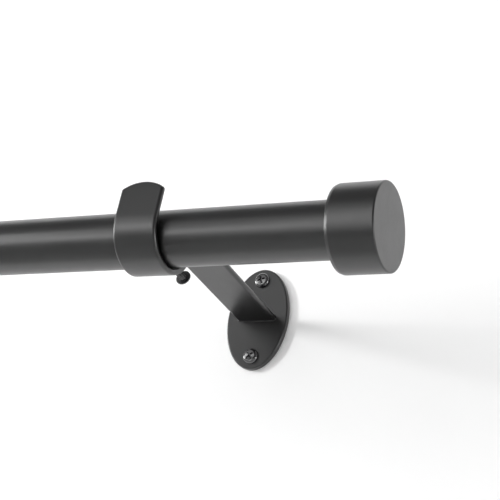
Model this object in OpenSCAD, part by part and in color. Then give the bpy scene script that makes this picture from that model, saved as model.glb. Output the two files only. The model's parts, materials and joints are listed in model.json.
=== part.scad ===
// Adjustable curtain rod: two telescoping tubes, two cylindrical end caps and two J-shaped
// wall brackets with an oval plate, two wall screws and a clamp screw each.
// The origin is the centre of the right-hand wall plate's back face. +X runs along the rod
// to the right-hand cap, +Y goes into the wall and +Z is up. All sizes are in millimetres.

/* [Rod] */
// Outside diameter of the outer tube
rod_od = 25.4; // [19:0.1:32]
// Wall thickness of the outer tube
outer_wall = 0.9; // [0.7:0.1:1.2]
// Wall thickness of the inner tube
inner_wall = 0.9; // [0.7:0.1:1.2]
// Radial space between the two tubes, which the bush and the glide fill
tube_space = 0.7; // [0.5:0.1:1.2]
// Length of the closed rod from cap face to cap face
closed_len = 711.2; // [500:0.2:1000]
// Bare length between the inner tube's hidden end and the right-hand end of the outer tube
inner_end_gap = 30; // [20:1:60]
// Gap between the left-hand cap and the mouth of the outer tube when closed
cap_gap = 2; // [1:0.5:10]
// Length of the bush in the outer tube's mouth
bush_len = 14; // [8:1:30]
// Thickness of the bush's flange
bush_flange = 1; // [0.6:0.1:2]
// Length of the glide's ring on the inner tube's hidden end
glide_len = 8; // [5:1:20]

/* [End caps] */
// Diameter of an end cap
cap_d = 38.2; // [34:0.1:50]
// Length of an end cap
cap_len = 21.4; // [15:0.1:40]
// Side wall of a cap's shell
shell_wall = 1.3; // [0.8:0.1:2]
// End wall of a cap's shell
shell_end = 1.6; // [1:0.1:3]
// Rounding of the shell's front edge
cap_front_r = 0.7; // [0.3:0.1:1.2]
// Rounding of the shell's back edge
cap_back_r = 1.1; // [0.3:0.1:1.2]
// Thickness of the floor of a cap's socket
socket_floor = 2; // [1:0.1:4]
// Depth of the insert's face inside the shell's back edge
insert_recess = 1.2; // [0.5:0.1:3]

/* [Bracket] */
// Distance from a bracket's middle to the outer face of the nearer cap
overhang = 110.6; // [70:0.2:180]
// Distance from the wall to the rod's axis
reach = 112.7; // [70:0.1:160]
// Height of the wall plate's middle above the rod's axis
plate_rise = 7.3; // [4:0.1:10]
// Width of the bracket's strip
strip_w = 21.2; // [14:0.2:26]
// Thickness of the bracket's strip
strip_t = 2.9; // [2.6:0.1:4]
// Rounding of the strip's long edges
strip_edge = 1.2; // [0.3:0.1:1.2]
// Space between the rod and the cup in front and behind
cup_play = 2.55; // [1:0.05:4]
// Height of the lip's crown above the top of the rod
lip_rise = 8.1; // [3:0.1:15]
// Lean of the lip towards the wall, in degrees
lip_lean = 5; // [0:0.5:6]
// Radius of the lip's crown
crown_r = 17.7; // [14:0.1:30]
// Inner radius of the bend from the cup to the arm
bend_r = 4; // [2:0.5:4.5]
// Fall of the arm from the cup to the wall, in degrees
arm_fall = 3.1; // [2:0.1:5]
// Leg of the weld around the arm's end
weld_leg = 1.8; // [1:0.1:2.5]

/* [Wall plate] */
// Height of the oval plate
plate_h = 54.6; // [46:0.2:80]
// Width of the oval plate
plate_w = 33.4; // [29:0.2:50]
// Thickness of the plate
plate_t = 3; // [2:0.1:5]
// Rounding of the plate's front edge
plate_edge = 0.8; // [0.3:0.1:1.2]
// Distance from a wall screw's centre to the nearer end of the plate
screw_inset = 6.5; // [5.6:0.1:8]

/* [Wall screws] */
// Diameter of a wall screw's shank
screw_d = 4; // [3:0.1:4.5]
// Length of a wall screw under its head
screw_len = 32; // [22:1:60]
// Length of the plain shank behind the plate
plain_len = 6; // [4:0.5:12]
// Pitch of the wall screw's thread
thread_pitch = 1.8; // [1.2:0.1:2.5]
// Diameter of a wall screw's head
head_d = 8.2; // [7:0.1:9.5]
// Height of a wall screw's head
head_h = 2.4; // [2:0.1:3.2]
// Width across a wall screw's cross recess
head_recess = 5.2; // [3:0.1:5.5]

/* [Clamp screws] */
// Diameter of a clamp screw
clamp_d = 4; // [3:0.1:5]
// Length of a clamp screw under its head
clamp_len = 18.1; // [10:0.1:25]
// Diameter of a clamp screw's head
clamp_head_d = 7.2; // [6.5:0.1:12]
// Thickness of a clamp screw's head
clamp_head_t = 1.5; // [1.2:0.1:3]
// Width across a clamp screw's cross recess
clamp_recess = 4.5; // [3:0.1:5]
// Angle at which a clamp screw enters below level, in degrees
clamp_angle = 8.5; // [0:0.5:20]

/* [Hidden] */
$fn = 96;
// Radial clearance of a sliding or push fit
fit = 0.08;
// Gap between a piece and the stop or surface that it rests against
seat = 0.25;
// Gap between a clamp screw's point and the rod
point_gap = 0.3;
// Clearance round a wall screw in its hole
screw_play = 0.4;
// Overlap that makes a cut run clean through
cut = 1;
// Steps in the arc of a rounded edge, and of the strip's rounded edges
edge_steps = 5;
strip_steps = 3;
// Steps along the strip's cup and along its bend
cup_steps = 24;
bend_steps = 10;
// Steps in the plate's rounded edge, and points of its oval outline
plate_steps = 3;
oval_points = 72;
// Space between the strip's faces and the flat faces of the disc that shapes its crown
crown_play = 0.05;
// Step from the outer tube's surface down to the flange of its bush
flange_step = 0.3;
// Step from a wall screw's neck, which lies in the plate, down to its shank
neck_step = 0.2;
// Depth of a wall screw's thread and length of its point
thread_depth = 0.6;
point_len = 6;
// Depth of a cross recess, and width of its slots at the mouth and at the floor
recess_depth = 1.5;
recess_slot = 1.1;
recess_floor_slot = 0.6;
// Chamfer of a clamp screw's head
clamp_chamfer = 0.3;
// Height of the weld's toe over the arm
weld_toe = 0.1;
// Thickness of the slabs at the two ends of a hull
sliver = 0.1;

rod_r = rod_od / 2;
outer_bore_r = rod_r - outer_wall;
inner_r = outer_bore_r - tube_space;
inner_bore_r = inner_r - inner_wall;

right_end = overhang;
left_end = overhang - closed_len;
bracket_span = closed_len - 2 * overhang;
left_bracket = -bracket_span;

socket_end = shell_end + socket_floor + seat;
outer_right = right_end - socket_end;
outer_left = left_end + cap_len + cap_gap + bush_flange;
inner_left = left_end + socket_end;
inner_right = outer_right - inner_end_gap;

cap_r = cap_d / 2;
shell_bore_r = cap_r - shell_wall;
socket_r = rod_r + fit;

cup_in = rod_r + cup_play;
cup_out = cup_in + strip_t;
// Height of the cup's centre over the rod's axis: the rod lies on the bottom of the cup
cup_z = cup_play - seat;
cup_mid = cup_in + strip_t / 2;
lip_len = (rod_r + lip_rise - cup_z - cup_mid * sin(lip_lean)) / cos(lip_lean);

plate_front = reach - plate_t;
bend_mid = bend_r + strip_t / 2;
bend_y = cup_out + bend_r;
arm_y = bend_y + bend_mid * sin(arm_fall);
arm_z = plate_rise + (plate_front - arm_y) * tan(arm_fall);
bend_z = arm_z - bend_mid * cos(arm_fall);

screw_z = plate_h / 2 - screw_inset;
screw_hole_r = screw_d / 2 + screw_play;
// One turn of a wall screw's thread: each point's radius, and its place as a share of the pitch
thread_turn = [[screw_d / 2 - thread_depth, 0.35], [screw_d / 2, 0.85], [screw_d / 2, 1]];

clamp_hole_r = clamp_d / 2 + fit;
clamp_tip = rod_r + point_gap;
clamp_head_at = clamp_tip + clamp_len;

steel_black = [0.11, 0.11, 0.12];
screw_black = [0.05, 0.05, 0.055];
plastic_black = [0.07, 0.07, 0.075];

// Points of a quarter circle of radius r about c, from angle a on, counter-clockwise
function quarter(c, r, a, steps = edge_steps) =
    [for (i = [0:steps]) let (t = a + 90 * i / steps) [c.x + r * cos(t), c.y + r * sin(t)]];

// Points of an ellipse with half axes a and b
function ellipse(a, b) =
    [for (i = [0:oval_points - 1]) let (t = 360 * i / oval_points) [a * cos(t), b * sin(t)]];

// Children turn about the rod's direction: local X is +Y, local Y is +Z, local Z is +X
module side_view(x, y = 0, z = 0) {
    translate([x, y - reach, z - plate_rise]) rotate([90, 0, 90]) children();
}

// Children with their own +Z lie along the rod's axis from x on
module on_rod(x) {
    translate([x, -reach, -plate_rise]) rotate([0, 90, 0]) children();
}

// A tube along the rod's axis
module tube(x0, x1, r_out, r_in) {
    on_rod(x0) difference() {
        cylinder(h = x1 - x0, r = r_out);
        translate([0, 0, -cut]) cylinder(h = x1 - x0 + 2 * cut, r = r_in);
    }
}

// A point of the strip's middle line at angle a of an arc of radius r about c, and the direction of
// its outer face
function on_arc(c, r, a, face) = [c.x + r * cos(a), c.y + r * sin(a), face];

// The strip's middle line in the side view, from the lip's top to behind the plate's front face
strip_line = concat(
    [[-cup_mid * cos(lip_lean) + (lip_len + cut) * sin(lip_lean),
      cup_z + cup_mid * sin(lip_lean) + (lip_len + cut) * cos(lip_lean), 180 - lip_lean]],
    [for (i = [0:cup_steps]) let (a = 180 - lip_lean + (180 + lip_lean) * i / cup_steps)
        on_arc([0, cup_z], cup_mid, a, a)],
    [for (i = [0:bend_steps]) let (a = 180 - (90 + arm_fall) * i / bend_steps)
        on_arc([bend_y, bend_z], bend_mid, a, a - 180)],
    [[plate_front + strip_t, plate_rise - strip_t * tan(arm_fall), -90 - arm_fall]]);

// The strip's section: x through its thickness and y across its width
strip_section = let (x = strip_t / 2 - strip_edge, y = strip_w / 2 - strip_edge) concat(
    quarter([x, y], strip_edge, 0, strip_steps), quarter([-x, y], strip_edge, 90, strip_steps),
    quarter([-x, -y], strip_edge, 180, strip_steps), quarter([x, -y], strip_edge, 270, strip_steps));

// The section drawn along a line of the side view
module strip_along(line) {
    n = len(strip_section);
    last = len(line) - 1;
    sides = [for (i = [0:last - 1], j = [0:n - 1]) let (a = i * n + j, b = i * n + (j + 1) % n) each
        [[a, b + n, a + n], [a, b, b + n]]];
    polyhedron(
        points = [for (p = line, q = strip_section) [p.x + q.x * cos(p.z), p.y + q.x * sin(p.z), q.y]],
        faces = concat([[for (j = [n - 1:-1:0]) j]], sides, [[for (j = [0:n - 1]) last * n + j]]));
}

// What the lip's crown leaves of a block round the lip: the crown is the rim of a disc
module crown_waste() {
    disc_t = strip_t + 2 * crown_play;
    translate([0, cup_z, 0]) rotate([0, 0, 180 - lip_lean]) translate([cup_in, -lip_len, 0]) difference() {
        translate([-cut, -2 * cut, -strip_w]) cube([strip_t + 2 * cut, lip_len + 2 * cut, 2 * strip_w]);
        translate([-crown_play, crown_r, 0]) rotate([0, 90, 0]) rotate_extrude() polygon(concat(
            [[0, 0]], quarter([crown_r - strip_edge, strip_edge], strip_edge, 270),
            quarter([crown_r - strip_edge, disc_t - strip_edge], strip_edge, 0), [[0, disc_t]]));
    }
}

// Children with their own +Z lie along a clamp screw's axis, with the rod's axis at z = 0
module clamp_axis(x) {
    side_view(x) rotate([0, 0, -clamp_angle]) rotate([0, 90, 0]) children();
}

// A cross-shaped driver recess with sloping ends, cut down from z = 0
module cross_recess(span) {
    floor_span = span - 2 * recess_depth + sliver;
    for (a = [0, 90]) rotate([0, 0, a]) hull() {
        translate([-span / 2, -recess_slot / 2, 0]) cube([span, recess_slot, cut]);
        translate([-floor_span / 2, -recess_floor_slot / 2, -recess_depth])
            cube([floor_span, recess_floor_slot, sliver]);
    }
}

module outer_tube() {
    color(steel_black) tube(outer_left, outer_right, rod_r, outer_bore_r);
}

module mouth_bush() {
    color(plastic_black) {
        tube(outer_left, outer_left + bush_len, outer_bore_r - fit / 2, inner_r + fit);
        tube(outer_left - bush_flange, outer_left, rod_r - flange_step, inner_r + fit);
    }
}

module inner_tube() {
    color(steel_black) tube(inner_left, inner_right, inner_r, inner_bore_r);
}

module inner_glide() {
    color(plastic_black) {
        tube(inner_right - glide_len, inner_right, inner_bore_r - fit / 2, inner_bore_r - inner_wall);
        tube(inner_right, inner_right + glide_len, outer_bore_r - fit, inner_bore_r - inner_wall);
    }
}

// A cap's shell with its back edge at z = 0 and its closed end at z = cap_len
module cap_shell() {
    rotate_extrude() polygon(concat(
        [[shell_bore_r, 0]],
        quarter([cap_r - cap_back_r, cap_back_r], cap_back_r, 270),
        quarter([cap_r - cap_front_r, cap_len - cap_front_r], cap_front_r, 0),
        [[0, cap_len], [0, cap_len - shell_end], [shell_bore_r, cap_len - shell_end]]));
}

// The insert that fills a shell and leaves a socket for the tube
module cap_insert() {
    depth = cap_len - shell_end - insert_recess;
    translate([0, 0, insert_recess]) difference() {
        cylinder(h = depth, r = shell_bore_r - fit / 2);
        translate([0, 0, -cut]) cylinder(h = depth - socket_floor + cut, r = socket_r);
    }
}

module cap_shell_right() {
    color(steel_black) on_rod(right_end - cap_len) cap_shell();
}

module cap_insert_right() {
    color(plastic_black) on_rod(right_end - cap_len) cap_insert();
}

module cap_shell_left() {
    color(steel_black) on_rod(left_end + cap_len) mirror([0, 0, 1]) cap_shell();
}

module cap_insert_left() {
    color(plastic_black) on_rod(left_end + cap_len) mirror([0, 0, 1]) cap_insert();
}

module cap_reducer_left() {
    color(plastic_black)
        tube(inner_left - seat, left_end + cap_len - insert_recess, socket_r - fit / 2, inner_r + fit);
}

// The bracket's strip: lip, cup, back, bend and arm in one piece
module hook_strip(x) {
    color(steel_black) difference() {
        side_view(x) difference() {
            strip_along(strip_line);
            crown_waste();
            translate([plate_front, arm_z - reach, -strip_w]) cube([reach, 2 * reach, 2 * strip_w]);
        }
        clamp_axis(x) cylinder(h = 2 * cup_out, r = clamp_hole_r);
    }
}

module wall_plate(x) {
    color(steel_black) translate([x, 0, 0]) rotate([90, 0, 0]) difference() {
        union() {
            for (i = [0:plate_steps]) {
                a = 90 * i / plate_steps;
                inset = plate_edge * (1 - cos(a));
                linear_extrude(height = plate_t - plate_edge * (1 - sin(a)))
                    polygon(ellipse(plate_w / 2 - inset, plate_h / 2 - inset));
            }
        }
        for (z = [-screw_z, screw_z])
            translate([0, z, -cut]) cylinder(h = plate_t + 2 * cut, r = screw_hole_r);
    }
}

// A thin rectangle at height z that stands out all round the arm's end by the given margin
module weld_slab(margin, z) {
    w = strip_w + 2 * margin;
    h = strip_t / cos(arm_fall) + 2 * margin;
    translate([-w / 2, -h / 2, z]) cube([w, h, sliver]);
}

// The weld bead around the arm's end, on the plate's front face
module arm_weld(x) {
    color(steel_black) difference() {
        translate([x, -plate_t, 0]) rotate([90, 0, 0]) hull() {
            weld_slab(weld_leg, 0);
            weld_slab(weld_toe, weld_leg - sliver);
        }
        side_view(x) strip_along([for (i = [2, 1]) strip_line[len(strip_line) - i]]);
    }
}

// A wall screw at height z on the plate
module wall_screw(x, z) {
    thread_at = plate_t + plain_len;
    turns = floor((screw_len - thread_at - point_len) / thread_pitch);
    dome_r = (pow(head_d / 2, 2) + pow(head_h, 2)) / (2 * head_h);
    color(screw_black) translate([x, -plate_t, z]) rotate([-90, 0, 0]) {
        difference() {
            rotate([180, 0, 0]) intersection() {
                cylinder(h = head_h, r = head_d / 2);
                translate([0, 0, head_h - dome_r]) sphere(r = dome_r);
            }
            translate([0, 0, -head_h]) rotate([180, 0, 0]) cross_recess(head_recess);
        }
        rotate_extrude() polygon(concat(
            [[0, 0], [screw_d / 2 + neck_step, 0], [screw_d / 2 + neck_step, plate_t]],
            [[screw_d / 2, plate_t], [screw_d / 2, thread_at]],
            [for (i = [0:turns - 1], p = thread_turn) [p.x, thread_at + (i + p.y) * thread_pitch]],
            [[thread_turn[0].x, thread_at + (turns + thread_turn[0].y) * thread_pitch], [0, screw_len]]));
    }
}

// A clamp screw, with its point near the rod and its head behind the cup
module clamp_screw(x) {
    color(screw_black) clamp_axis(x) difference() {
        union() {
            translate([0, 0, clamp_tip]) cylinder(h = clamp_len + cut / 2, r = clamp_d / 2);
            translate([0, 0, clamp_head_at]) rotate_extrude() polygon([
                [0, 0], [clamp_head_d / 2 - clamp_chamfer, 0], [clamp_head_d / 2, clamp_chamfer],
                [clamp_head_d / 2, clamp_head_t - clamp_chamfer],
                [clamp_head_d / 2 - clamp_chamfer, clamp_head_t], [0, clamp_head_t]]);
        }
        translate([0, 0, clamp_head_at + clamp_head_t]) cross_recess(clamp_recess);
    }
}

module hook_strip_right() { hook_strip(0); }
module wall_plate_right() { wall_plate(0); }
module arm_weld_right() { arm_weld(0); }
module upper_screw_right() { wall_screw(0, screw_z); }
module lower_screw_right() { wall_screw(0, -screw_z); }
module clamp_screw_right() { clamp_screw(0); }

module hook_strip_left() { hook_strip(left_bracket); }
module wall_plate_left() { wall_plate(left_bracket); }
module arm_weld_left() { arm_weld(left_bracket); }
module upper_screw_left() { wall_screw(left_bracket, screw_z); }
module lower_screw_left() { wall_screw(left_bracket, -screw_z); }
module clamp_screw_left() { clamp_screw(left_bracket); }

outer_tube();
mouth_bush();
inner_tube();
inner_glide();
cap_shell_right();
cap_insert_right();
cap_shell_left();
cap_insert_left();
cap_reducer_left();
hook_strip_right();
wall_plate_right();
arm_weld_right();
upper_screw_right();
lower_screw_right();
clamp_screw_right();
hook_strip_left();
wall_plate_left();
arm_weld_left();
upper_screw_left();
lower_screw_left();
clamp_screw_left();
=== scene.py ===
import json
import math

import bmesh
import bpy
from mathutils import Matrix, Vector


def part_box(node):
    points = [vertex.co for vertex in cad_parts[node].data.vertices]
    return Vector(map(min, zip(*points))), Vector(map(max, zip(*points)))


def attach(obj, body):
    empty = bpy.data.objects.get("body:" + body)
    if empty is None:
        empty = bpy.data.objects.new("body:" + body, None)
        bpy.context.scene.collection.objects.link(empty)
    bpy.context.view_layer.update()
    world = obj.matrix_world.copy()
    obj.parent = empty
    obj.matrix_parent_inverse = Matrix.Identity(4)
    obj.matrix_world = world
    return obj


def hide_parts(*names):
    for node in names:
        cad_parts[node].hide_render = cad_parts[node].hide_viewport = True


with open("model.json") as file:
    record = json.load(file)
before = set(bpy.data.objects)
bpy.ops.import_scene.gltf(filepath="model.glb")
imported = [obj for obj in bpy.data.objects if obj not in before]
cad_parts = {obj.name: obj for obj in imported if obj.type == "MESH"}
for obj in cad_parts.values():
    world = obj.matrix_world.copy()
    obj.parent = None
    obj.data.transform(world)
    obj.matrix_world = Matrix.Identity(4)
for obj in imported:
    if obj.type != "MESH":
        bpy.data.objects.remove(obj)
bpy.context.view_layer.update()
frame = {"record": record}

MM = 0.001

# Camera, fitted to the photograph's outlines: place in metres, turns in degrees, lens in
# millimetres on a 36 mm wide sensor
CAMERA_AT = (0.29438, -0.57114, -0.23825)
CAMERA_AZIMUTH = 28.195
CAMERA_ELEVATION = -23.263
CAMERA_ROLL = 9.098
CAMERA_LENS = 96.228
SENSOR_W = 36.0
CLIP_START = 0.02

# Sizes that the frame doesn't give: the bracket's strip. The lip leans back, and the arm falls to
# the wall. The rows of faces are those of the lip, the cup, the upright back, the bend and the arm.
STRIP_T = 2.9 * MM
STRIP_EDGE = 1.35 * MM
STRIP_ROWS = (6, 72, 2, 28, 8)
CROWN_R = 17.7 * MM
CROWN_STEPS = 12
CROWN_CORNER_R = 1.5 * MM
CROWN_CORNER_STEPS = 6
LIP_LEAN = math.radians(5)
BEND_R = 4 * MM
ARM_FALL = math.radians(3.1)

# Sizes that the frame doesn't give: the bead round the arm's end. Its section is given in shares
# of its leg, out from the arm and up from the plate, and is a cove from its top to its foot.
WELD_LEG = 0.4 * MM
WELD_TOP = [(0, 1), (0.05, 0.93)]
WELD_COVE_R = 0.93
WELD_FOOT = [(0.93, 0.05), (0.97, 0), (0, 0)]
WELD_STEPS = 8

# Sizes that the frame doesn't give: tubes, caps and plates. The back edge of a cap is a shallow
# bevel.
TUBE_WALL = 0.9 * MM
TUBE_EDGE = 0.2 * MM
TUBE_SEGMENTS = 128
FIT = 0.08 * MM
GLIDE_RING = 8 * MM
CAP_WALL = 1.3 * MM
CAP_END = 1.6 * MM
CAP_FRONT_R = 0.7 * MM
CAP_BEVEL_LONG = 1.5 * MM
CAP_BEVEL_IN = 0.6 * MM
CAP_BEVEL_R = 1.5 * MM
CAP_RIM_R = 0.12 * MM
CAP_BORE_R = 0.1 * MM
CAP_SEGMENTS = 160
INSERT_EDGE = 0.3 * MM
SOCKET_EDGE = 0.4 * MM
SOCKET_FLOOR = 2 * MM
PLATE_EDGE = 0.9 * MM
PLATE_BACK_EDGE = 0.25 * MM
PLATE_SEGMENTS = 144

# Sizes that the frame doesn't give: wall screws. A head's top is crowned, with a round shoulder.
# The shank is plain behind the plate, then threaded, and ends in a point. The turns are those of
# the cross recesses.
SCREW_R = 2 * MM
SCREW_NECK_R = 2.2 * MM
SCREW_HOLE_R = 2.4 * MM
SCREW_HEAD_H = 2.4 * MM
SCREW_CROWN = 0.45 * MM
SCREW_SHOULDER_R = 1.7 * MM
SCREW_PLAIN = 6 * MM
SCREW_PITCH = 1.8 * MM
SCREW_THREAD = 0.6 * MM
SCREW_THREAD_ROWS = 12
SCREW_POINT = 6 * MM
SCREW_RECESS = 4.8 * MM
SCREW_TURNS = {"upper": math.radians(20), "lower": math.radians(38)}

# Sizes that the frame doesn't give: clamp screws. They point at the rod's axis, where their
# lengths start. A head narrows from its rim to its top.
CLAMP_ANGLE = math.radians(8.5)
CLAMP_R = 2 * MM
CLAMP_PITCH = 0.7 * MM
CLAMP_THREAD = 0.35 * MM
CLAMP_THREAD_ROWS = 8
CLAMP_TIP = 13 * MM
CLAMP_TIP_CHAMFER = 0.3 * MM
CLAMP_LEN = 18.1 * MM
CLAMP_HEAD_R = 3.6 * MM
CLAMP_HEAD_T = 1.5 * MM
CLAMP_FACE_R = 0.2 * MM
CLAMP_RIM = 0.5 * MM
CLAMP_TOP = 0.66 * CLAMP_HEAD_R
CLAMP_TOP_R = 0.7 * MM
CLAMP_RECESS = 4.5 * MM

# Both kinds of screw. The wedges that cut a cross recess start above the head and narrow to its
# floor. A thread's flank is a share of its pitch. On a point, the thread fades once the core is
# down to 1 / THREAD_FADE of its radius.
SCREW_SEGMENTS = 48
HEAD_RIM_R = 0.12 * MM
RECESS_ABOVE = 1 * MM
RECESS_DEPTH = 1.3 * MM
RECESS_SLOT = 1.45 * MM
RECESS_FLOOR_SLOT = 0.5 * MM
THREAD_FLANK = 0.32
THREAD_FADE = 1.6
POINT_R = 0.02 * MM

# How far a flat face's first edge loop lies from its rounded edge
SUPPORT = 0.12 * MM
# Edges that turn by more than this are sharp
SHARP = math.radians(32)
# How far a cutter for a hole reaches past what it cuts
CUT_PAST = 1 * MM

# Finishes: dark and light or worn colours, and ranges of roughness
COAT_DARK = (0.005, 0.005, 0.0052)
COAT_LIGHT = (0.008, 0.008, 0.0083)
COAT_ROUGH = (0.29, 0.35)
COAT_SPECULAR = 0.95
SCREW_DARK = (0.012, 0.012, 0.013)
SCREW_WORN = (0.04, 0.04, 0.042)
SCREW_ROUGH = (0.17, 0.27)
LACQUER_ROUGH = 0.16
LACQUER_IOR = 1.8
PLASTIC_DARK = (0.022, 0.022, 0.023)
PLASTIC_LIGHT = (0.03, 0.03, 0.031)
PLASTIC_ROUGH = (0.5, 0.66)

# Stage: a white wall just behind the plates' backs, a pale floor far below and a plain world. The
# glow is what camera, glossy and transmission rays see on top of the lit paint.
STAGE_COLOUR = 0.8
STAGE_SPAN = 6.0
WALL_Y = 0.3 * MM
WALL_GLOW = 0.2
FLOOR_Z = -1.2
FLOOR_GLOW = 0.12
WORLD_LIGHT = 0.2

# Soft boxes round the right-hand bracket: azimuth and elevation in degrees, distance from the
# rod in metres, width and height in metres, brightness of the box's face
LAMPS = {
    "key_left": (-45, 15, 1.3, 0.37, 0.37, 3.15),
    "key_middle": (-37.5, 0, 1.3, 0.72, 0.36, 2.35),
    "key_right": (-15, 0, 1.3, 0.36, 1.08, 1.87),
    "key_upper": (-22.5, 30, 1.3, 0.64, 0.36, 0.52),
    "rim": (-75, 4, 2.6, 0.84, 0.84, 15.5),
    "side": (80, -10, 1.3, 0.36, 0.36, 8.0),
    "low_side": (60, -40, 1.3, 0.36, 0.36, 1.7),
    "shade": (-62, 10, 1.8, 0.28, 0.36, 81.0),
    "fill": (-20, 15, 2.2, 2.4, 2.0, 1.45),
}
# What some of the lamps don't light. "shade" and "fill" make no highlights, and only the brackets
# throw a shadow from "shade".
NOT_LIT = {
    "shade": ("floor",),
    "fill": ("floor",),
    "rim": ("floor", "wall"),
    "side": ("floor", "wall"),
    "low_side": ("floor", "wall"),
}
NO_HIGHLIGHTS = ("shade", "fill")
SHADE_CASTERS = ("hook_strip", "wall_plate", "arm_weld")

BODY_OF = {node: body for body, nodes in frame["record"]["behaviour"]["bodies"].items()
           for node in nodes}


def middle(node):
    low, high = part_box(node)
    return (low + high) / 2


def radius_of(node):
    low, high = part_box(node)
    return (high.z - low.z) / 2


ROD_AXIS = middle("outer_tube")
ROD_R = radius_of("outer_tube")
ALONG_ROD = Matrix.Translation((0, ROD_AXIS.y, ROD_AXIS.z)) @ Matrix.Rotation(math.pi / 2, 4, "Y")


def make(name, verts, faces, place=None):
    """A mesh object with its normals outwards, moved into place in its mesh."""
    mesh = bpy.data.meshes.new(name)
    mesh.from_pydata([tuple(v) for v in verts], [], faces)
    if place is not None:
        mesh.transform(place)
    tidy = bmesh.new()
    tidy.from_mesh(mesh)
    bmesh.ops.recalc_face_normals(tidy, faces=tidy.faces)
    tidy.to_mesh(mesh)
    tidy.free()
    piece = bpy.data.objects.new(name, mesh)
    bpy.context.scene.collection.objects.link(piece)
    return piece


def smooth(piece):
    mesh = piece.data
    mesh.polygons.foreach_set("use_smooth", [True] * len(mesh.polygons))
    mesh.set_sharp_from_angle(angle=SHARP)


def cut(piece, *cutters):
    """Takes each cutter out of the piece and deletes it."""
    for cutter in cutters:
        change = piece.modifiers.new("cut", "BOOLEAN")
        change.operation = "DIFFERENCE"
        change.solver = "EXACT"
        change.object = cutter
    graph = bpy.context.evaluated_depsgraph_get()
    cleaned = bpy.data.meshes.new_from_object(piece.evaluated_get(graph))
    piece.modifiers.clear()
    piece.data = cleaned
    for cutter in cutters:
        bpy.data.objects.remove(cutter)


def rounded(corners, steps, closed=False):
    """Points along (x, y, radius) corners. Each round has a support point before and after it."""
    points = []
    for i, (x, y, radius) in enumerate(corners):
        here = Vector((x, y))
        if radius == 0:
            points.append(here)
            continue
        before = (Vector(corners[i - 1][:2]) - here).normalized()
        after = (Vector(corners[(i + 1) % len(corners)][:2]) - here).normalized()
        half = before.angle(after) / 2
        centre = here + (before + after).normalized() * (radius / math.sin(half))
        start = here + before * (radius / math.tan(half))
        spoke = start - centre
        turn = (math.pi - 2 * half) * (1 if before.x * after.y - before.y * after.x < 0 else -1)
        points.append(start + before * SUPPORT)
        points += [centre + Matrix.Rotation(turn * k / steps, 2) @ spoke for k in range(steps + 1)]
        points.append(here + after * (radius / math.tan(half) + SUPPORT))
    if closed:
        points.append(points[0])
    return points


def revolve(name, profile, place, segments):
    """Turns (radius, height) points about Z. A radius may be a function of the angle."""
    angles = [2 * math.pi * i / segments for i in range(segments)]
    verts, rings = [], []
    for radius, height in profile:
        first = len(verts)
        if not callable(radius) and radius < 1e-7:
            verts.append((0, 0, height))
        else:
            radii = [radius(a) if callable(radius) else radius for a in angles]
            verts += [(r * math.cos(a), r * math.sin(a), height) for r, a in zip(radii, angles)]
        rings.append(range(first, len(verts)))
    if tuple(profile[0]) == tuple(profile[-1]):
        del verts[rings[-1].start:]
        rings[-1] = rings[0]
    faces = []
    for low, high in zip(rings, rings[1:]):
        for i in range(segments):
            j = (i + 1) % segments
            quad = (low[i % len(low)], low[j % len(low)], high[j % len(high)], high[i % len(high)])
            corners = list(dict.fromkeys(quad))
            if len(corners) > 2:
                faces.append(corners)
    return make(name, verts, faces, place)


def round_ring(name, corners):
    """A ring about the rod's axis, from the corners of its section."""
    return revolve(name, rounded(corners, steps=3, closed=True), ALONG_ROD, TUBE_SEGMENTS)


def tube(name, x0, x1, r_out, r_in):
    """A tube along the rod's axis with lightly rounded ends."""
    ends = ((r_in, x0), (r_out, x0), (r_out, x1), (r_in, x1))
    return round_ring(name, [(r, x, TUBE_EDGE) for r, x in ends])


def place_along(origin, direction):
    """A frame at the origin whose Z lies along the direction."""
    turn = Vector(direction).to_track_quat("Z", "Y")
    return Matrix.Translation(origin) @ turn.to_matrix().to_4x4()


def polar(r, angle):
    return Vector((r * math.cos(angle), r * math.sin(angle)))


# Materials

def new_material(name):
    material = bpy.data.materials.new(name)
    material.use_nodes = True
    nodes, links = material.node_tree.nodes, material.node_tree.links
    shader = nodes["Principled BSDF"]
    place = nodes.new("ShaderNodeTexCoord").outputs["Object"]
    return material, nodes, links, shader, place


def noise(nodes, links, place, size, detail, roughness=0.55):
    """Noise whose features are about the given size, in metres."""
    node = nodes.new("ShaderNodeTexNoise")
    node.inputs["Scale"].default_value = 1 / size
    node.inputs["Detail"].default_value = detail
    node.inputs["Roughness"].default_value = roughness
    links.new(place, node.inputs["Vector"])
    return node.outputs["Fac"]


def spread(nodes, links, value, low, high, from_low=0.3, from_high=0.7):
    """Maps the middle of a noise's range to low to high."""
    node = nodes.new("ShaderNodeMapRange")
    node.inputs["From Min"].default_value = from_low
    node.inputs["From Max"].default_value = from_high
    node.inputs["To Min"].default_value = low
    node.inputs["To Max"].default_value = high
    links.new(value, node.inputs["Value"])
    return node.outputs["Result"]


def blend_colours(nodes, links, factor, first, second):
    node = nodes.new("ShaderNodeMix")
    node.data_type = "RGBA"
    node.inputs["A"].default_value = (*first, 1)
    node.inputs["B"].default_value = (*second, 1)
    links.new(factor, node.inputs["Factor"])
    return node.outputs["Result"]


def bump(nodes, links, height, depth, normal=None):
    node = nodes.new("ShaderNodeBump")
    node.inputs["Distance"].default_value = depth
    node.inputs["Strength"].default_value = 1.0
    links.new(height, node.inputs["Height"])
    if normal is not None:
        links.new(normal, node.inputs["Normal"])
    return node.outputs["Normal"]


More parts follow.
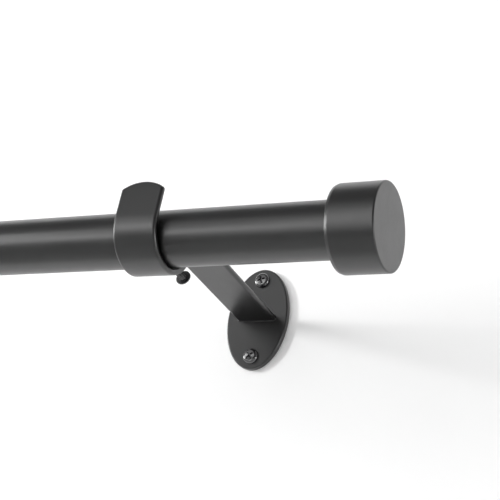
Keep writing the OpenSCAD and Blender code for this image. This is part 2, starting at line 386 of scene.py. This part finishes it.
def powder_coat():
    """Satin black powder coat: fine orange peel, faint cloudiness and a few duller rubs."""
    material, nodes, links, shader, place = new_material("powder_coat")
    clouds = noise(nodes, links, place, 30 * MM, detail=2.0)
    rubs = noise(nodes, links, place, 6 * MM, detail=5.0, roughness=0.65)
    peel = noise(nodes, links, place, 0.9 * MM, detail=2.0)
    grain = noise(nodes, links, place, 0.16 * MM, detail=2.0)
    tone = spread(nodes, links, clouds, 0, 1)
    colour = blend_colours(nodes, links, tone, COAT_DARK, COAT_LIGHT)
    links.new(colour, shader.inputs["Base Color"])
    links.new(spread(nodes, links, rubs, *COAT_ROUGH), shader.inputs["Roughness"])
    skin = bump(nodes, links, peel, depth=0.006 * MM)
    skin = bump(nodes, links, grain, depth=0.0012 * MM, normal=skin)
    links.new(skin, shader.inputs["Normal"])
    shader.inputs["Specular IOR Level"].default_value = COAT_SPECULAR
    return material


def screw_steel():
    """Steel under glossy black lacquer, with worn spots."""
    material, nodes, links, shader, place = new_material("screw_steel")
    wear = noise(nodes, links, place, 1.4 * MM, detail=6.0, roughness=0.7)
    fine = noise(nodes, links, place, 0.25 * MM, detail=3.0)
    worn = spread(nodes, links, wear, 0, 1, from_low=0.55, from_high=0.75)
    colour = blend_colours(nodes, links, worn, SCREW_DARK, SCREW_WORN)
    links.new(colour, shader.inputs["Base Color"])
    links.new(spread(nodes, links, fine, *SCREW_ROUGH), shader.inputs["Roughness"])
    shader.inputs["Specular IOR Level"].default_value = 1.0
    shader.inputs["Coat Weight"].default_value = 1.0
    shader.inputs["Coat Roughness"].default_value = LACQUER_ROUGH
    shader.inputs["Coat IOR"].default_value = LACQUER_IOR
    links.new(bump(nodes, links, fine, depth=0.004 * MM), shader.inputs["Normal"])
    return material


def moulded_plastic():
    """Black nylon with a fine spark-eroded texture."""
    material, nodes, links, shader, place = new_material("moulded_plastic")
    grain = noise(nodes, links, place, 0.35 * MM, detail=4.0)
    clouds = noise(nodes, links, place, 9 * MM, detail=2.0)
    colour = blend_colours(nodes, links, clouds, PLASTIC_DARK, PLASTIC_LIGHT)
    links.new(colour, shader.inputs["Base Color"])
    links.new(spread(nodes, links, grain, *PLASTIC_ROUGH), shader.inputs["Roughness"])
    links.new(bump(nodes, links, grain, depth=0.02 * MM), shader.inputs["Normal"])
    return material


FINISHES = {
    "powder_coat": powder_coat(),
    "screw_black": screw_steel(),
    "moulded_black": moulded_plastic(),
}


def stand_for(piece, node, slot):
    """The piece takes the place of a CAD node and its finish from a slot."""
    smooth(piece)
    piece.data.materials.clear()
    piece.data.materials.append(FINISHES[slot])
    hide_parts(node)
    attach(piece, BODY_OF[node])


# Tubes, bush and glide

def build_tubes():
    for node in ("outer_tube", "inner_tube"):
        low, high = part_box(node)
        r = radius_of(node)
        stand_for(tube(node + "_coated", low.x, high.x, r, r - TUBE_WALL), node, "powder_coat")
    inner_r = radius_of("inner_tube")

    # The bush: a sleeve in the outer tube's mouth, and a flange before it
    low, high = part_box("mouth_bush")
    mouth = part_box("outer_tube")[0].x
    flange_r = radius_of("mouth_bush")
    plug_r = ROD_R - TUBE_WALL - FIT / 2
    r_in = inner_r + FIT
    corners = [(r_in, low.x, TUBE_EDGE), (flange_r, low.x, TUBE_EDGE), (flange_r, mouth, 0),
               (plug_r, mouth, 0), (plug_r, high.x, TUBE_EDGE), (r_in, high.x, TUBE_EDGE)]
    stand_for(round_ring("mouth_bush_moulded", corners), "mouth_bush", "moulded_black")

    # The glide: a sleeve in the inner tube's hidden end, and a ring that rubs in the outer tube
    low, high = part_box("inner_glide")
    ring_r = radius_of("inner_glide")
    plug_r = inner_r - TUBE_WALL - FIT / 2
    r_in = inner_r - 2 * TUBE_WALL
    step = high.x - GLIDE_RING
    corners = [(r_in, low.x, TUBE_EDGE), (plug_r, low.x, TUBE_EDGE), (plug_r, step, 0),
               (ring_r, step, TUBE_EDGE), (ring_r, high.x, TUBE_EDGE), (r_in, high.x, TUBE_EDGE)]
    stand_for(round_ring("inner_glide_moulded", corners), "inner_glide", "moulded_black")


# End caps

def build_cap(side):
    """The shell and its insert. Their profiles run from the cap's back edge at 0 to its face."""
    shell_node, insert_node = "cap_shell_" + side, "cap_insert_" + side
    low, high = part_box(shell_node)
    if side == "right":
        place = ALONG_ROD @ Matrix.Translation((0, 0, low.x))
    else:
        place = ALONG_ROD @ Matrix.Translation((0, 0, high.x)) @ Matrix.Rotation(math.pi, 4, "X")
    length = high.x - low.x
    cap_r = radius_of(shell_node)
    bore = cap_r - CAP_WALL
    inside = length - CAP_END
    corners = [(0, length, 0), (cap_r, length, CAP_FRONT_R), (cap_r, CAP_BEVEL_LONG, CAP_BEVEL_R),
               (cap_r - CAP_BEVEL_IN, 0, CAP_RIM_R), (bore, 0, CAP_BORE_R), (bore, inside, 0),
               (0, inside, 0)]
    shell = revolve(shell_node + "_coated", rounded(corners, steps=6), place, CAP_SEGMENTS)
    stand_for(shell, shell_node, "powder_coat")

    low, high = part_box(insert_node)
    back = inside - (high.x - low.x)
    plug_r = bore - FIT / 2
    socket_r = ROD_R + FIT
    floor = inside - SOCKET_FLOOR
    corners = [(0, inside, 0), (plug_r, inside, 0), (plug_r, back, INSERT_EDGE),
               (socket_r, back, SOCKET_EDGE), (socket_r, floor, 0), (0, floor, 0)]
    insert = revolve(insert_node + "_moulded", rounded(corners, steps=4), place, TUBE_SEGMENTS)
    stand_for(insert, insert_node, "moulded_black")


def build_reducer():
    node = "cap_reducer_left"
    low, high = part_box(node)
    r_in = radius_of("inner_tube") + FIT
    stand_for(tube(node + "_moulded", low.x, high.x, radius_of(node), r_in), node, "moulded_black")


# Brackets

class Strip:
    """The bracket's bent strip, as a flat plate (s along it from the crown, w across, z through it)
    that is bent round the rod. Places are seen from the side: Y, Z."""

    def __init__(self, node):
        low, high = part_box(node)
        self.mid_x = (low.x + high.x) / 2
        self.half_w = (high.x - low.x) / 2
        cup_out = ROD_AXIS.y - low.y
        self.cup_r = cup_out - STRIP_T / 2
        self.cup = Vector((ROD_AXIS.y, low.z + cup_out))
        self.bend_r = BEND_R + STRIP_T / 2
        bend_y = ROD_AXIS.y + cup_out + BEND_R
        arm_y = bend_y + self.bend_r * math.sin(ARM_FALL)
        plate = middle(node.replace("hook_strip", "wall_plate"))
        arm_z = plate.z + (high.y - arm_y) * math.tan(ARM_FALL)
        self.bend = Vector((bend_y, arm_z - self.bend_r * math.cos(ARM_FALL)))
        self.lip_len = (high.z - self.cup.y - self.cup_r * math.sin(LIP_LEAN)) / math.cos(LIP_LEAN)
        self.cup_len = self.cup_r * (math.pi + LIP_LEAN)
        self.back_len = self.bend.y - self.cup.y
        self.bend_len = self.bend_r * (math.pi / 2 + ARM_FALL)
        self.arm_len = (high.y - arm_y) / math.cos(ARM_FALL)

    def at(self, s):
        """Middle line at s: a point, and the direction of the outer face as an angle."""
        if s < self.lip_len:
            face = math.pi - LIP_LEAN
            start = self.cup + polar(self.cup_r, face)
            return start + polar(self.lip_len - s, face - math.pi / 2), face
        s -= self.lip_len
        if s < self.cup_len:
            face = math.pi - LIP_LEAN + s / self.cup_r
            return self.cup + polar(self.cup_r, face), face
        s -= self.cup_len
        if s < self.back_len:
            return self.cup + Vector((self.cup_r, s)), 0.0
        s -= self.back_len
        if s < self.bend_len:
            spoke = math.pi - s / self.bend_r
            return self.bend + polar(self.bend_r, spoke), spoke - math.pi
        s -= self.bend_len
        face = -math.pi / 2 - ARM_FALL
        return self.bend - polar(self.bend_r, face) + polar(s, -ARM_FALL), face

    def stations(self):
        """Places along the strip for its rows of faces, from the plate to the lip."""
        lengths = (self.lip_len, self.cup_len, self.back_len, self.bend_len, self.arm_len)
        places, start = [], 0.0
        for length, rows in zip(lengths, STRIP_ROWS):
            places += [start + length * k / rows for k in range(rows)]
            start += length
        return [start] + places[::-1]

    def outline(self, inset):
        """The strip's edge in the flat, inset, from the plate round the crown and back: (s, w)."""
        r = CROWN_CORNER_R
        rise = math.sqrt((CROWN_R - r) ** 2 - (self.half_w - r) ** 2)
        corner = Vector((CROWN_R - rise, r - self.half_w))
        lean = math.atan2(-corner.y, CROWN_R - corner.x)
        half = [Vector((s, inset - self.half_w)) for s in self.stations() if s > corner.x + SUPPORT]
        half.append(Vector((corner.x + SUPPORT, inset - self.half_w)))
        for k in range(CROWN_CORNER_STEPS):
            turn = (math.pi / 2 - lean) * k / CROWN_CORNER_STEPS
            half.append(corner + (r - inset) * Vector((-math.sin(turn), -math.cos(turn))))
        for k in range(CROWN_STEPS):
            turn = lean * (1 - k / CROWN_STEPS)
            half.append(Vector((CROWN_R, 0)) + (inset - CROWN_R) * polar(1, turn))
        tip = Vector((inset, 0))
        return half + [tip] + [Vector((p.x, -p.y)) for p in reversed(half)]

    def build(self, name):
        t = STRIP_T / 2
        edge = rounded([(0, 0, 0), (0, t, STRIP_EDGE), (t, t, 0)], steps=5)[1:]
        section = [(p.x, p.y) for p in reversed(edge[:-1])]
        section += [(inset, -z) for inset, z in reversed(section)]
        verts, size = [], 0
        for inset, z in section:
            ring = self.outline(inset)
            size = len(ring)
            for s, w in ring:
                point, face = self.at(s)
                point = point + polar(z, face)
                verts.append((self.mid_x + w, point.x, point.y))
        firsts = [k * size for k in range(len(section))]
        faces = [[a + i, a + i + 1, b + i + 1, b + i]
                 for a, b in zip(firsts, firsts[1:]) for i in range(size - 1)]
        for base in (firsts[0], firsts[-1]):
            for i in range(size // 2):
                quad = (base + i, base + i + 1, base + size - 2 - i, base + size - 1 - i)
                faces.append(list(dict.fromkeys(quad)))
        faces.append(firsts + [first + size - 1 for first in reversed(firsts)])
        return make(name, verts, faces)


def clamp_place(mid_x):
    """Z along the clamp screw, from the rod's axis outwards."""
    away = (0, math.cos(CLAMP_ANGLE), -math.sin(CLAMP_ANGLE))
    return place_along((mid_x, ROD_AXIS.y, ROD_AXIS.z), away)


def back_of(node):
    """Z towards the room, from the middle of a node's back."""
    low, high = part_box(node)
    centre = ((low.x + high.x) / 2, high.y, (low.z + high.z) / 2)
    return Matrix.Translation(centre) @ Matrix.Rotation(math.pi / 2, 4, "X")


def drill(piece, radius, start, end, place):
    """Cuts a round hole along the place's Z."""
    hole = [(0, start), (radius, start), (radius, end), (0, end)]
    cut(piece, revolve("hole", hole, place, SCREW_SEGMENTS))


def band(first, second, size):
    """Faces between two closed rings of vertices, each given by its first vertex."""
    turns = [(i, (i + 1) % size) for i in range(size)]
    return [[first + i, first + j, second + j, second + i] for i, j in turns]


def build_strip(side):
    node = "hook_strip_" + side
    strip = Strip(node)
    piece = strip.build(node + "_coated")
    drill(piece, CLAMP_R + FIT, ROD_R, 2 * ROD_R, clamp_place(strip.mid_x))
    stand_for(piece, node, "powder_coat")


def build_plate(side):
    """The oval plate with a rounded front edge, and its two holes."""
    node = "wall_plate_" + side
    low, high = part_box(node)
    a, b, t = (high.x - low.x) / 2, (high.z - low.z) / 2, high.y - low.y
    corners = [(a, t, 0), (0, t, PLATE_EDGE), (0, 0, PLATE_BACK_EDGE), (a, 0, 0)]
    profile = rounded(corners, steps=6)[1:-1]
    verts = []
    for inset, depth in profile:
        for i in range(PLATE_SEGMENTS):
            turn = 2 * math.pi * i / PLATE_SEGMENTS
            verts.append(((a - inset) * math.cos(turn), (b - inset) * math.sin(turn), depth))
    firsts = [k * PLATE_SEGMENTS for k in range(len(profile))]
    faces = []
    for first, second in zip(firsts, firsts[1:]):
        faces += band(first, second, PLATE_SEGMENTS)
    faces.append(list(range(PLATE_SEGMENTS)))
    faces.append([firsts[-1] + i for i in reversed(range(PLATE_SEGMENTS))])
    plate = make(node + "_coated", verts, faces, back_of(node))
    for level in ("upper", "lower"):
        centre = middle("%s_screw_%s" % (level, side))
        place = place_along((centre.x, low.y, centre.z), (0, 1, 0))
        drill(plate, SCREW_HOLE_R, -CUT_PAST, t + CUT_PAST, place)
    stand_for(plate, node, "powder_coat")


def build_weld(side):
    """A smooth coved bead round the arm's end."""
    node = "arm_weld_" + side
    strip_low, strip_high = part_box("hook_strip_" + side)
    half_w = (strip_high.x - strip_low.x) / 2
    half_h = STRIP_T / 2 / math.cos(ARM_FALL)
    cove = [math.pi / 2 * k / WELD_STEPS for k in range(1, WELD_STEPS)]
    profile = list(WELD_TOP)
    profile += [(1 - WELD_COVE_R * math.cos(a), 1 - WELD_COVE_R * math.sin(a)) for a in cove]
    profile += WELD_FOOT
    verts, size = [], 0
    for out, proud in profile:
        r = STRIP_EDGE + out * WELD_LEG
        ring = []
        for sx, sz, start in ((1, 1, 0), (-1, 1, 90), (-1, -1, 180), (1, -1, 270)):
            centre = Vector((sx * (half_w - STRIP_EDGE), sz * (half_h - STRIP_EDGE)))
            turns = [math.radians(start + 90 * k / WELD_STEPS) for k in range(WELD_STEPS + 1)]
            ring += [centre + polar(r, turn) for turn in turns]
        size = len(ring)
        verts += [(p.x, p.y, WELD_LEG * proud) for p in ring]
    firsts = [k * size for k in range(len(profile))]
    faces = []
    for first, second in zip(firsts, firsts[1:] + firsts[:1]):
        faces += band(first, second, size)
    stand_for(make(node + "_coated", verts, faces, back_of(node)), node, "powder_coat")


# Screws

def recess(span, place):
    """Two wedges that cut a cross recess down from a head's top, towards -Z."""
    start = (span / 2 + RECESS_ABOVE, RECESS_SLOT, RECESS_ABOVE)
    floor = (span / 2 - RECESS_DEPTH, RECESS_FLOOR_SLOT, -RECESS_DEPTH)
    corners = []
    for x, slot, z in (start, floor):
        y = slot / 2
        corners += [(x, y, z), (-x, y, z), (-x, -y, z), (x, -y, z)]
    faces = [[0, 1, 2, 3], [7, 6, 5, 4]]
    faces += [[i, i + 4, (i + 1) % 4 + 4, (i + 1) % 4] for i in range(4)]
    across = place @ Matrix.Rotation(math.pi / 2, 4, "Z")
    return [make("wedge", corners, faces, turned) for turned in (place, across)]


def threaded(start, end, major, depth, pitch, rows, point=0.0):
    """Rings of a screw thread from start to end. A point is the length of its tapering end."""
    def ring(z):
        taper = min(1.0, max(0.0, (end - z) / point)) if point else 1.0
        grow = min(1.0, (z - start) / pitch)

        def radius(angle):
            turn = (z / pitch - angle / (2 * math.pi)) % 1.0
            crest = max(0.0, 1 - abs(turn - 0.5) / THREAD_FLANK)
            core = (major - depth) * taper + (1 - grow) * depth * taper
            return max(core + crest * depth * grow * min(1.0, taper * THREAD_FADE), POINT_R)
        return radius
    count = max(2, round((end - start) / pitch * rows))
    heights = [start + (end - start) * k / count for k in range(1, count)]
    return [(ring(z), z) for z in heights]


def build_wall_screw(level, side):
    node = "%s_screw_%s" % (level, side)
    low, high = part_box(node)
    plate_low, plate_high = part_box("wall_plate_" + side)
    plate_t = plate_high.y - plate_low.y
    plain = plate_t + SCREW_PLAIN
    length = high.y - low.y - SCREW_HEAD_H
    head_r = (high.x - low.x) / 2
    head = [(0, -SCREW_HEAD_H, 0), (head_r, SCREW_CROWN - SCREW_HEAD_H, SCREW_SHOULDER_R),
            (head_r, 0, HEAD_RIM_R), (SCREW_NECK_R, 0, 0)]
    profile = [tuple(p) for p in rounded(head, steps=8)]
    profile += [(SCREW_NECK_R, plate_t), (SCREW_R, plate_t), (SCREW_R, plain)]
    profile += threaded(plain, length, SCREW_R, SCREW_THREAD, SCREW_PITCH, SCREW_THREAD_ROWS,
                        SCREW_POINT)
    profile.append((0, length))
    under = Vector(((low.x + high.x) / 2, low.y + SCREW_HEAD_H, (low.z + high.z) / 2))
    screw = revolve(node + "_plated", profile, place_along(under, (0, 1, 0)), SCREW_SEGMENTS)
    top = place_along((under.x, low.y, under.z), (0, -1, 0))
    turn = Matrix.Rotation(SCREW_TURNS[level], 4, "Z")
    cut(screw, *recess(SCREW_RECESS, top @ turn))
    stand_for(screw, node, "screw_black")


def build_clamp_screw(side):
    node = "clamp_screw_" + side
    core_r = CLAMP_R - CLAMP_THREAD
    neck_r = CLAMP_R - CLAMP_THREAD / 2
    under = CLAMP_TIP + CLAMP_LEN
    top = under + CLAMP_HEAD_T
    start, end = CLAMP_TIP + CLAMP_TIP_CHAMFER, under - CLAMP_PITCH
    profile = [(0, CLAMP_TIP), (core_r - CLAMP_TIP_CHAMFER, CLAMP_TIP), (core_r, start)]
    profile += threaded(start, end, CLAMP_R, CLAMP_THREAD, CLAMP_PITCH, CLAMP_THREAD_ROWS)
    profile += [(neck_r, end), (neck_r, under)]
    head = [(0, under, 0), (CLAMP_HEAD_R, under, CLAMP_FACE_R),
            (CLAMP_HEAD_R, under + CLAMP_RIM, HEAD_RIM_R), (CLAMP_TOP, top, CLAMP_TOP_R),
            (0, top, 0)]
    profile += [tuple(p) for p in rounded(head, steps=4)[1:]]
    place = clamp_place(middle(node).x)
    screw = revolve(node + "_plated", profile, place, SCREW_SEGMENTS)
    cut(screw, *recess(CLAMP_RECESS, place @ Matrix.Translation((0, 0, top))))
    stand_for(screw, node, "screw_black")


build_tubes()
build_reducer()
for side in ("right", "left"):
    build_cap(side)
    build_strip(side)
    build_plate(side)
    build_weld(side)
    build_wall_screw("upper", side)
    build_wall_screw("lower", side)
    build_clamp_screw(side)


# Stage, lamps and camera

def seen_directly(nodes, links):
    """1 for camera, glossy and transmission rays."""
    path = nodes.new("ShaderNodeLightPath")
    most = path.outputs["Is Camera Ray"]
    for kind in ("Is Glossy Ray", "Is Transmission Ray"):
        node = nodes.new("ShaderNodeMath")
        node.operation = "MAXIMUM"
        links.new(most, node.inputs[0])
        links.new(path.outputs[kind], node.inputs[1])
        most = node.outputs["Value"]
    return most


def stage_paint(name, glow, one_sided):
    """Matt paint that glows for direct rays. One-sided paint shows only from its front."""
    material = bpy.data.materials.new(name)
    material.use_nodes = True
    nodes, links = material.node_tree.nodes, material.node_tree.links
    nodes.clear()
    paint = nodes.new("ShaderNodeBsdfDiffuse")
    paint.inputs["Color"].default_value = (STAGE_COLOUR, STAGE_COLOUR, STAGE_COLOUR, 1)
    light = nodes.new("ShaderNodeEmission")
    level = nodes.new("ShaderNodeMath")
    level.operation = "MULTIPLY"
    level.inputs[1].default_value = glow
    links.new(seen_directly(nodes, links), level.inputs[0])
    links.new(level.outputs["Value"], light.inputs["Strength"])
    both = nodes.new("ShaderNodeAddShader")
    links.new(paint.outputs["BSDF"], both.inputs[0])
    links.new(light.outputs["Emission"], both.inputs[1])
    surface = both.outputs["Shader"]
    if one_sided:
        choice = nodes.new("ShaderNodeMixShader")
        links.new(nodes.new("ShaderNodeNewGeometry").outputs["Backfacing"], choice.inputs["Fac"])
        links.new(surface, choice.inputs[1])
        links.new(nodes.new("ShaderNodeBsdfTransparent").outputs["BSDF"], choice.inputs[2])
        surface = choice.outputs["Shader"]
    links.new(surface, nodes.new("ShaderNodeOutputMaterial").inputs["Surface"])
    return material


def stage_sheet(name, corners, material):
    mesh = bpy.data.meshes.new(name)
    mesh.from_pydata(corners, [], [(0, 1, 2, 3)])
    mesh.materials.append(material)
    sheet = bpy.data.objects.new(name, mesh)
    bpy.context.scene.collection.objects.link(sheet)


def build_stage():
    w, y = STAGE_SPAN, WALL_Y
    stage_sheet("wall", [(-w, y, FLOOR_Z), (w, y, FLOOR_Z), (w, y, w), (-w, y, w)],
                stage_paint("wall_paint", WALL_GLOW, True))
    stage_sheet("floor", [(-w, -w, FLOOR_Z), (w, -w, FLOOR_Z), (w, w, FLOOR_Z), (-w, w, FLOOR_Z)],
                stage_paint("floor_paint", FLOOR_GLOW, False))
    world = bpy.data.worlds.new("studio")
    bpy.context.scene.world = world
    world.use_nodes = True
    background = world.node_tree.nodes["Background"]
    background.inputs["Color"].default_value = (1, 1, 1, 1)
    background.inputs["Strength"].default_value = WORLD_LIGHT


def direction(azimuth, elevation):
    """Degrees to a direction. Azimuth counts from straight out of the wall, towards +X."""
    turn, rise = math.radians(azimuth), math.radians(elevation)
    x = math.sin(turn) * math.cos(rise)
    y = -math.cos(turn) * math.cos(rise)
    return Vector((x, y, math.sin(rise)))


def collect(name, pieces):
    group = bpy.data.collections.new(name)
    for piece in pieces:
        group.objects.link(piece)
    return group


def limit(lamp):
    """Keeps what the lamp lights, and what throws its shadow, to the pieces chosen for it."""
    lamp.visible_glossy = lamp.name not in NO_HIGHLIGHTS
    meshes = [piece for piece in bpy.data.objects if piece.type == "MESH"]
    lit = [piece for piece in meshes if piece.name not in NOT_LIT[lamp.name]]
    lamp.light_linking.receiver_collection = collect(lamp.name + "_lights", lit)
    if lamp.name == "shade":
        casters = [piece for piece in meshes if piece.name.startswith(SHADE_CASTERS)]
        lamp.light_linking.blocker_collection = collect("shade_casters", casters)


def build_lamps():
    target = Vector((0.0, ROD_AXIS.y, ROD_AXIS.z))
    for name, (azimuth, elevation, distance, width, height, brightness) in LAMPS.items():
        away = direction(azimuth, elevation)
        light = bpy.data.lights.new(name, "AREA")
        light.shape = "RECTANGLE"
        light.size, light.size_y = width, height
        light.energy = math.pi * width * height * brightness
        lamp = bpy.data.objects.new(name, light)
        lamp.matrix_world = place_along(target + distance * away, away)
        lamp.visible_camera = False
        bpy.context.scene.collection.objects.link(lamp)
        if name in NOT_LIT:
            limit(lamp)


def build_camera():
    azimuth, roll = math.radians(CAMERA_AZIMUTH), math.radians(CAMERA_ROLL)
    back = direction(CAMERA_AZIMUTH, CAMERA_ELEVATION)
    level = Vector((math.cos(azimuth), math.sin(azimuth), 0))
    upright = back.cross(level)
    right = math.cos(roll) * level + math.sin(roll) * upright
    up = math.cos(roll) * upright - math.sin(roll) * level
    data = bpy.data.cameras.new("camera")
    data.lens = CAMERA_LENS
    data.sensor_fit = "HORIZONTAL"
    data.sensor_width = SENSOR_W
    data.clip_start = CLIP_START
    camera = bpy.data.objects.new("camera", data)
    turned = Matrix((right, up, back)).transposed().to_4x4()
    camera.matrix_world = Matrix.Translation(CAMERA_AT) @ turned
    bpy.context.scene.collection.objects.link(camera)
    bpy.context.scene.camera = camera


build_stage()
build_lamps()
build_camera()
bpy.context.scene.view_settings.view_transform = "Standard"
